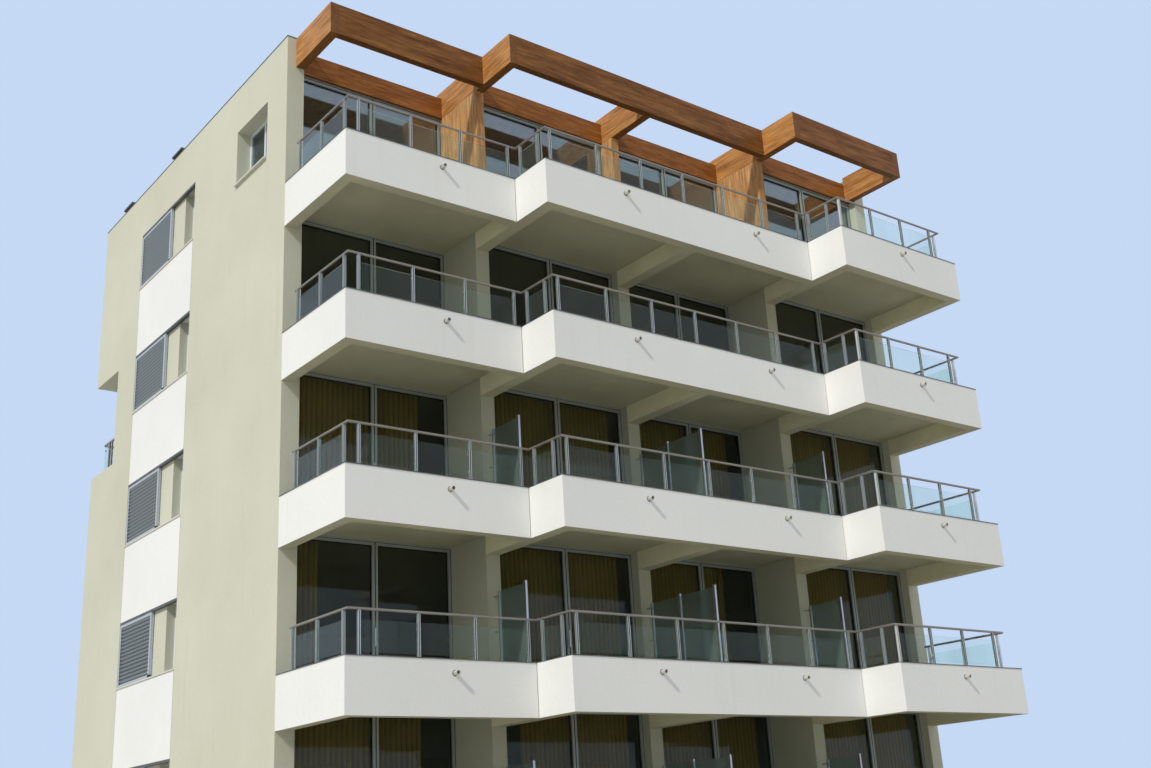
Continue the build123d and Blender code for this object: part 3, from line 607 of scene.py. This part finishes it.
# The hollows of the pleats are darkened toward the fold shade: painted shade
colour = blend(tree, spread(tree, fold, 0.1, 0.8, 0.9, 0.0), colour, FOLD_SHADE)
colour = blend(tree, sums(tree, "MULTIPLY", weave.outputs["Fac"], 0.15), colour, WEFT)
tree.links.new(colour, shader.inputs["Base Color"])
tree.links.new(spread(tree, fade, 0.3, 0.7, 0.82, 0.95), shader.inputs["Roughness"])
shader.inputs["Sheen Weight"].default_value = 0.3
add_bump(tree, shader, weave.outputs["Fac"], 0.1, 0.001)


def curtain(name, start, end, back, foot, head, phase):
    """A pleated sheet: y swings as a sine of the way along the track, wider towards the hem.

    The swing of each pleat also wanders a little, so that no two fold alike, and x sways
    twice a pleat, which rounds the folds. The attribute named fold is 1 at the crests nearest
    to the door and 0 in the hollows, which the cloth's material darkens as painted shade.
    """
    count = max(2, round((end - start) / PLEAT))
    u, v = np.meshgrid(np.linspace(0, 1, count * TURN_POINTS + 1), np.linspace(0, 1, ROWS))
    turn = 2 * np.pi * count * u + phase
    swing = SWING_HEAD + (SWING_HEM - SWING_HEAD) * v
    swing = swing * (1 + SWING_WANDER * np.sin(turn / WANDER_PLEATS + WANDER_SHIFT * phase))
    lean = LEAN * v * np.sin(turn / LEAN_PLEATS + phase)
    sway = LEAN * np.sin(2 * turn) + LEAN_SHARE * lean
    x = start + (end - start) * u + sway * np.sin(np.pi * u)
    y = back + swing * np.sin(turn)
    z = head - (head - foot) * v
    points = np.stack([x, y, z], 2).reshape(-1, 3)
    rows, cols = u.shape
    at = np.arange(rows * cols).reshape(rows, cols)
    faces = np.stack([at[:-1, :-1], at[1:, :-1], at[1:, 1:], at[:-1, 1:]], 2).reshape(-1, 4)
    piece = new_piece(name, points, faces.tolist(), cloth)
    mesh = piece.data
    mesh.polygons.foreach_set("use_smooth", np.ones(len(faces), bool))
    along = np.linalg.norm(np.diff(np.stack([x, y], 2), axis=1), axis=2)
    flat = np.concatenate([np.zeros((rows, 1)), np.cumsum(along, 1)], 1)
    layer = mesh.uv_layers.new(name="cloth")
    uv = np.stack([flat, head - z], 2).reshape(-1, 2)[faces.reshape(-1)]
    layer.data.foreach_set("uv", uv.reshape(-1))
    crest = mesh.attributes.new("fold", "FLOAT", "POINT")
    crest.data.foreach_set("value", (0.5 - 0.5 * np.sin(turn)).reshape(-1))
    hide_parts("curtains")


for count, (low, high) in enumerate(zip(*solids("curtains"))):
    middle = (low[1] + high[1]) / 2
    curtain(f"curtain_{count}", low[0], high[0], middle, low[2], high[2], PHASE_STEP * count)

# Copings and cappings. Folded aluminium sheet painted dark grey, over the parapets and the
# tops of the walls, with rain marks and dust along it.
coping = metal("coping_grey", (0.105, 0.108, 0.112), dust=0.35, smooth=0.38, metallic=0.3)[0]
for name in ("parapet_copings", "wall_cappings"):
    dress(name, coping)

# Railings. Round brushed steel handrail over posts of bent flat bar: the narrow edges of each
# bar take a painted highlight. Posts on the runs along y stand on the four lines given here.
POST_LINES = (LEFT + 0.11, LEFT + 3.67, LEFT + 10.63, LEFT + 14.19)
LINE_NEAR, POST_GREY, PAINTED_HIGHLIGHT = 0.06, (0.27, 0.30, 0.29), (0.80, 0.82, 0.81)
post_steel, tree, shader, film = metal("post_steel", POST_GREY, dust=0.1, smooth=0.28, metallic=0.4)
x = parts(tree, where(tree))[0]
nx, ny = facing(tree)[:2]
beside = sums(tree, "ABSOLUTE", sums(tree, "SUBTRACT", x, POST_LINES[0]))
for line in POST_LINES[1:]:
    beside = sums(tree, "MINIMUM", beside, sums(tree, "ABSOLUTE", sums(tree, "SUBTRACT", x, line)))
side = sums(tree, "LESS_THAN", beside, LINE_NEAR)
across = sums(tree, "SUBTRACT", 1.0, side)
side = sums(tree, "MULTIPLY", side, sums(tree, "GREATER_THAN", sums(tree, "ABSOLUTE", nx), LOOKS))
across = sums(tree, "MULTIPLY", across, sums(tree, "GREATER_THAN", sums(tree, "ABSOLUTE", ny), LOOKS))
# Painted highlight on the narrow edges of the bars
highlight_edges = sums(tree, "MAXIMUM", side, across)
tree.links.new(blend(tree, highlight_edges, film.outputs["Color"], PAINTED_HIGHLIGHT), shader.inputs["Base Color"])
for level in range(5):
    dress(f"railing_posts_{level}", post_steel)
dress("screen_posts", brushed_steel)
dress("drain_spouts", metal("spout_zinc", (0.60, 0.585, 0.53), dust=0.3, smooth=0.4, metallic=0.2)[0])
rail_steel = metal("rail_steel", (0.31, 0.275, 0.235), dust=0.2, smooth=0.30, metallic=0.5)[0]
for name in ("handrails", "loggia_railing"):
    dress(name, rail_steel)

# Base plates of the railing posts. A square steel plate with a bolt head at each of two
# opposite corners, screwed down through the coping.
PLATE, PLATE_THICK, BOLT, BOLT_HIGH = 0.045, 0.006, 0.007, 0.007
lows, highs = [], []
for level in range(5):
    low, high = solids(f"railing_posts_{level}")
    foot = np.stack([(low[:, 0] + high[:, 0]) / 2, (low[:, 1] + high[:, 1]) / 2, low[:, 2]], 1)
    lows.append(foot - [PLATE, PLATE, 0])
    highs.append(foot + [PLATE, PLATE, PLATE_THICK])
    for corner in (2 * BOLT - PLATE, PLATE - 2 * BOLT):
        bolt = foot + [corner, corner, PLATE_THICK]
        lows.append(bolt - [BOLT, BOLT, 0])
        highs.append(bolt + [BOLT, BOLT, BOLT_HIGH])
boxes("post_base_plates", np.concatenate(lows), np.concatenate(highs), brushed_steel, 0.001)

# Glass clamps. Small dull steel blocks, two on each upright edge of a pane, which hold it a
# little off the posts.
CLAMP_LONG, CLAMP_DEEP, CLAMP_TALL, CLAMP_AT = 0.018, 0.010, 0.028, 0.10
lows, highs = [], []
for node in ("railing_glass", "screen_glass"):
    low, high = solids(node)
    along = ((high - low)[:, 0] > (high - low)[:, 1])[:, None]
    middle = (low + high) / 2
    half = np.where(along, [CLAMP_LONG / 2, CLAMP_DEEP, 0], [CLAMP_DEEP, CLAMP_LONG / 2, 0])
    axis = np.where(along, [1, 0, 0], [0, 1, 0])
    for end in (low, high):
        spot = np.where(axis, end + np.sign(middle - end) * half, middle)
        for z in (low[:, 2] + CLAMP_AT, high[:, 2] - CLAMP_AT):
            lows.append(np.stack([*(spot - half).T[:2], z - CLAMP_TALL / 2], 1))
            highs.append(np.stack([*(spot + half).T[:2], z + CLAMP_TALL / 2], 1))
boxes("glass_clamps", np.concatenate(lows), np.concatenate(highs), rail_steel, 0.002)

# Panes of the railings, and of the loggia's. Clear toughened glass of a green blue cast,
# held between the posts by the clamps.
dress("railing_glass", glazing("railing_pane", (0.81, 0.895, 0.855), clear=0.985, smooth=0.0, bend=1.16))

# Frosted screens between neighbours. Etched glass, milky and slightly green, clamped to
# steel posts that are bracketed to the piers.
etched = glazing("etched_pane", (0.54, 0.66, 0.60), clear=0.90, smooth=0.18, lift=0.02, bend=1.25)
dress("screen_glass", etched)

# Outer leaves of the middle pier's screens. The tray reaches one step further there, so a
# second pane of etched glass stands past the first, with a steel post at its end.
SCREEN_POST, POST_DEEP, POST_EXTRA, SCREEN_FOOT, PIER_NEAR = 0.04, 0.06, 0.04, 0.10, 0.1
low, high = solids("screen_glass")
middle = np.abs(low[:, 0] - np.median(low[:, 0])) < PIER_NEAR
low, high = low[middle], high[middle]
start, end = low - [0, STEP, 0], high.copy()
end[:, 1] = low[:, 1] - POST_DEEP
boxes("outer_screens", start, end, etched)
left_side = (low + high)[:, 0] / 2 - SCREEN_POST / 2
foot = np.stack([left_side, start[:, 1] - POST_DEEP, low[:, 2] - SCREEN_FOOT], 1)
head = np.stack([left_side + SCREEN_POST, start[:, 1], high[:, 2] + POST_EXTRA], 1)
boxes("outer_screen_posts", foot, head, brushed_steel, 0.003)


# Timber frame over the terrace. Glued softwood beams, planed and varnished orange brown,
# with long grain, darker growth rings and the faint lines of their layers.
LAYER, LAYER_SEAM = 0.045, 0.0009
KNOT_BROWN, SEAM_BROWN, SHADE_BROWN = (0.10, 0.045, 0.02), (0.12, 0.05, 0.02), (0.13, 0.052, 0.016)
UNDER_SHADE_SHARE = 0.75


def grain_group():
    """Wood with its fibres along x of the given vector, in glued layers one above the other.

    Rings are noise stretched 10 times along the grain, and the fibres are finer noise
    stretched 12.5 times along it. A dark line marks the seam at each layer's edge.
    """
    group, given, out = new_group(
        "long grain",
        [("Vector", "NodeSocketVector", (0, 0, 0)), ("Pale", "NodeSocketColor", (0.6, 0.3, 0.1, 1)),
         ("Dark", "NodeSocketColor", (0.3, 0.12, 0.04, 1))],
        [("Color", "NodeSocketColor"), ("Roughness", "NodeSocketFloat"), ("Height", "NodeSocketFloat")],
    )
    place = given.outputs["Vector"]
    ring = noise(group, stretched(group, place, (0.5, 5.0, 5.0)), 1.6, 5.0, 0.6)
    fibre = noise(group, stretched(group, place, (2.4, 30.0, 30.0)), 1.0, 4.0, 0.65)
    knot = spread(group, noise(group, stretched(group, place, (1.1, 6.0, 6.0)), 1.0, 2.0), 0.68, 0.8)
    edge = sums(group, "PINGPONG", parts(group, place)[2], LAYER / 2)
    seam = sums(group, "LESS_THAN", edge, LAYER_SEAM)
    colour = blend(group, spread(group, ring, 0.34, 0.68), given.outputs["Pale"], given.outputs["Dark"])
    colour = toned(group, colour, spread(group, fibre, 0.32, 0.68, 1.28, 0.58))
    colour = blend(group, sums(group, "MULTIPLY", knot, 0.6), colour, KNOT_BROWN)
    colour = blend(group, sums(group, "MULTIPLY", seam, 0.5), colour, SEAM_BROWN)
    links = group.links
    links.new(colour, out.inputs["Color"])
    links.new(spread(group, fibre, 0.3, 0.7, 0.32, 0.5), out.inputs["Roughness"])
    links.new(sums(group, "SUBTRACT", fibre, sums(group, "MULTIPLY", seam, 1.5)), out.inputs["Height"])
    return group


long_grain = grain_group()


def timber(name, turn, pale, dark, ends=0.0):
    """Varnished timber whose fibres run along the axis that the turn brings to x.

    Faces that look to the front are darkened by the share given as ends, and those that look
    down by a fixed share: painted shade.
    """
    made, tree, shader = new_material(name)
    along = put(tree, "ShaderNodeMapping", {"Vector": where(tree)}, Rotation=turn).outputs[0]
    wood = put(tree, "ShaderNodeGroup", {"Vector": along}, node_tree=long_grain,
               Pale=(*pale, 1), Dark=(*dark, 1))
    ny, nz = facing(tree)[1:]
    # Painted shade on the faces that look to the front and down
    front = sums(tree, "MULTIPLY", sums(tree, "LESS_THAN", ny, -LOOKS), ends)
    under = sums(tree, "MULTIPLY", sums(tree, "LESS_THAN", nz, -LOOKS), UNDER_SHADE_SHARE)
    brown = blend(tree, sums(tree, "ADD", front, under), wood.outputs["Color"], SHADE_BROWN)
    tree.links.new(brown, shader.inputs["Base Color"])
    tree.links.new(wood.outputs["Roughness"], shader.inputs["Roughness"])
    shader.inputs["Specular IOR Level"].default_value = 0.12
    shader.inputs["Coat Weight"].default_value = 0.02
    shader.inputs["Coat Roughness"].default_value = 0.3
    add_bump(tree, shader, wood.outputs["Height"], 0.25, 0.002)
    return made


# The front beams and the fascia take darker tones than the cross beams and piers: the front beams' partly
# weathering and partly painted shade, the fascia's painted shade
for name, turn, pale, dark, ends in (
    ("timber_front_beams", (0, 0, 0), (0.30, 0.126, 0.036), (0.15, 0.054, 0.013), 0.0),
    ("timber_cross_beams", (0, 0, math.pi / 2), (0.62, 0.300, 0.094), (0.38, 0.155, 0.040), 0.8),
    ("timber_piers", (0, math.pi / 2, 0), (0.70, 0.400, 0.170), (0.47, 0.235, 0.085), 0.1),
    ("roof_fascia", (0, 0, 0), (0.42, 0.167, 0.042), (0.26, 0.090, 0.020), 0.0),
):
    dress(name, timber(name + "_wood", turn, pale, dark, ends))

# Collars of the rain spouts. A ring of grey mastic, smoothed on by hand, seals each spout to
# the paint. It is a circle of points on the wall and a smaller one a little before it.
COLLAR, COLLAR_THICK, COLLAR_TAPER, COLLAR_SIDES = 0.052, 0.008, 0.9, 16
MASTIC_GREY = (0.22, 0.22, 0.21)
low, high = solids("drain_spouts")
turn = np.arange(COLLAR_SIDES) * 2 * np.pi / COLLAR_SIDES
ring = np.stack([np.cos(turn), np.zeros(COLLAR_SIDES), np.sin(turn)], 1) * COLLAR
middle = np.stack([(low[:, 0] + high[:, 0]) / 2, high[:, 1], (low[:, 2] + high[:, 2]) / 2], 1)
front = (middle - [0, COLLAR_THICK, 0])[:, None] + COLLAR_TAPER * ring
points = np.concatenate([front, middle[:, None] + ring], 1).reshape(-1, 3)
step = np.arange(COLLAR_SIDES)
after = (step + 1) % COLLAR_SIDES
faces = []
for start in range(0, len(points), 2 * COLLAR_SIDES):
    faces.append((start + step).tolist())
    sides = np.stack([step, after, after + COLLAR_SIDES, step + COLLAR_SIDES], 1) + start
    faces += sides.tolist()
mastic = metal("grey_mastic", MASTIC_GREY, dust=0.3, smooth=0.7, metallic=0.0)[0]
new_piece("spout_collars", points, faces, mastic)

# Guides of the shutters. A black block at the foot of each shutter's near stile runs in the
# sill and keeps the shutter from swinging.
GUIDE_LONG, GUIDE_TALL, GUIDE_DEEP, GUIDE_OUT, GUIDE_SINK = 0.055, 0.060, 0.045, 0.012, 0.004
low, high = solids("louvre_shutters")
x0 = np.where(low[:, 0] < 0, low[:, 0] - GUIDE_OUT, high[:, 0] - GUIDE_DEEP)
start = np.stack([x0, low[:, 1] - GUIDE_LONG / 3, low[:, 2] - GUIDE_SINK], 1)
end = np.stack([x0 + GUIDE_DEEP + GUIDE_OUT, low[:, 1] + GUIDE_LONG, low[:, 2] + GUIDE_TALL], 1)
boxes("shutter_guides", start, end, rubber, 0.004)

# Roof vents. Hoods of folded galvanised sheet over the shafts, painted matt dark brown and
# streaked by rain.
dress("roof_vents", metal("vent_paint", (0.045, 0.038, 0.036), dust=0.35, smooth=0.5, metallic=0.2)[0])

# The stage: a pale floor, a soft low sun from the left, a pale even sky and the camera at
# the photograph's place, below the balconies and to the left of the front.
FLOOR_HALF, FLOOR_DROP = 400.0, 0.004
FLOOR_PALE, FLOOR_CLOUD, FLOOR_BOUNCE = (0.80, 0.80, 0.79), (0.84, 0.84, 0.83), (0.50, 0.485, 0.45)
SKY_FILL, SKY_FILL_STRENGTH, SKY_SEEN = (0.90, 0.95, 1.0), 0.60, (0.56, 0.69, 0.91)
SUN_STRENGTH, SUN_WIDE, SUN_COLOUR = 2.26, math.radians(2), (1.0, 0.97, 0.92)
SUN_RUNS = (0.724, 0.240, -0.646)
corners = [(-1, -1), (1, -1), (1, 1), (-1, 1)]
mesh = bpy.data.meshes.new("floor")
mesh.from_pydata([(FLOOR_HALF * x, FLOOR_HALF * y, -FLOOR_DROP) for x, y in corners], [], [[0, 1, 2, 3]])
floor = bpy.data.objects.new("floor", mesh)
bpy.context.scene.collection.objects.link(floor)
ground, tree, shader = new_material("pale_floor")
cloud = spread(tree, noise(tree, where(tree), 0.2, 3.0), 0.3, 0.7)
seen = put(tree, "ShaderNodeLightPath").outputs["Is Camera Ray"]
pale = blend(tree, cloud, FLOOR_PALE, FLOOR_CLOUD)
tree.links.new(blend(tree, seen, FLOOR_BOUNCE, pale), shader.inputs["Base Color"])
shader.inputs["Roughness"].default_value = 0.9
mesh.materials.append(ground)
floor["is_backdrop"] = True

world = bpy.data.worlds.new("sky")
world.use_nodes = True
bpy.context.scene.world = world
tree = world.node_tree
plain = tree.nodes["Background"]
plain.inputs["Color"].default_value = (*SKY_FILL, 1)
plain.inputs["Strength"].default_value = SKY_FILL_STRENGTH
shown = put(tree, "ShaderNodeBackground", Color=(*SKY_SEEN, 1), Strength=1.0)
path = put(tree, "ShaderNodeLightPath").outputs
direct = sums(tree, "MAXIMUM", path["Is Camera Ray"],
              sums(tree, "MAXIMUM", path["Is Glossy Ray"], path["Is Transmission Ray"]))
both = tree.nodes.new("ShaderNodeMixShader")
tree.links.new(direct, both.inputs[0])
tree.links.new(plain.outputs[0], both.inputs[1])
tree.links.new(shown.outputs[0], both.inputs[2])
tree.links.new(both.outputs[0], tree.nodes["World Output"].inputs["Surface"])

lamp = bpy.data.lights.new("low_sun", "SUN")
lamp.energy, lamp.angle, lamp.color = SUN_STRENGTH, SUN_WIDE, SUN_COLOUR
sun = bpy.data.objects.new("low_sun", lamp)
sun.rotation_euler = Vector(SUN_RUNS).to_track_quat("-Z", "Y").to_euler()
bpy.context.scene.collection.objects.link(sun)

# Each row is one axis of the frame: the camera's right, up and back along it, and its place.
# Solved from points of the photograph, with the storey height.
lens = bpy.data.cameras.new("photograph")
lens.lens, lens.sensor_width, lens.clip_end = 41.335, 36.0, 500.0
camera = bpy.data.objects.new("photograph", lens)
camera.matrix_world = Matrix((
    (0.79322, -0.15995, -0.58755, -16.7350),
    (-0.60639, -0.29567, -0.73816, -23.1686),
    (-0.05565, 0.94180, -0.33152, 1.6654),
    (0, 0, 0, 1),
))
bpy.context.scene.collection.objects.link(camera)
bpy.context.scene.camera = camera
bpy.context.scene.view_settings.view_transform = "Standard"

# Sizes: the dressed model's box, in metres
low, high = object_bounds()
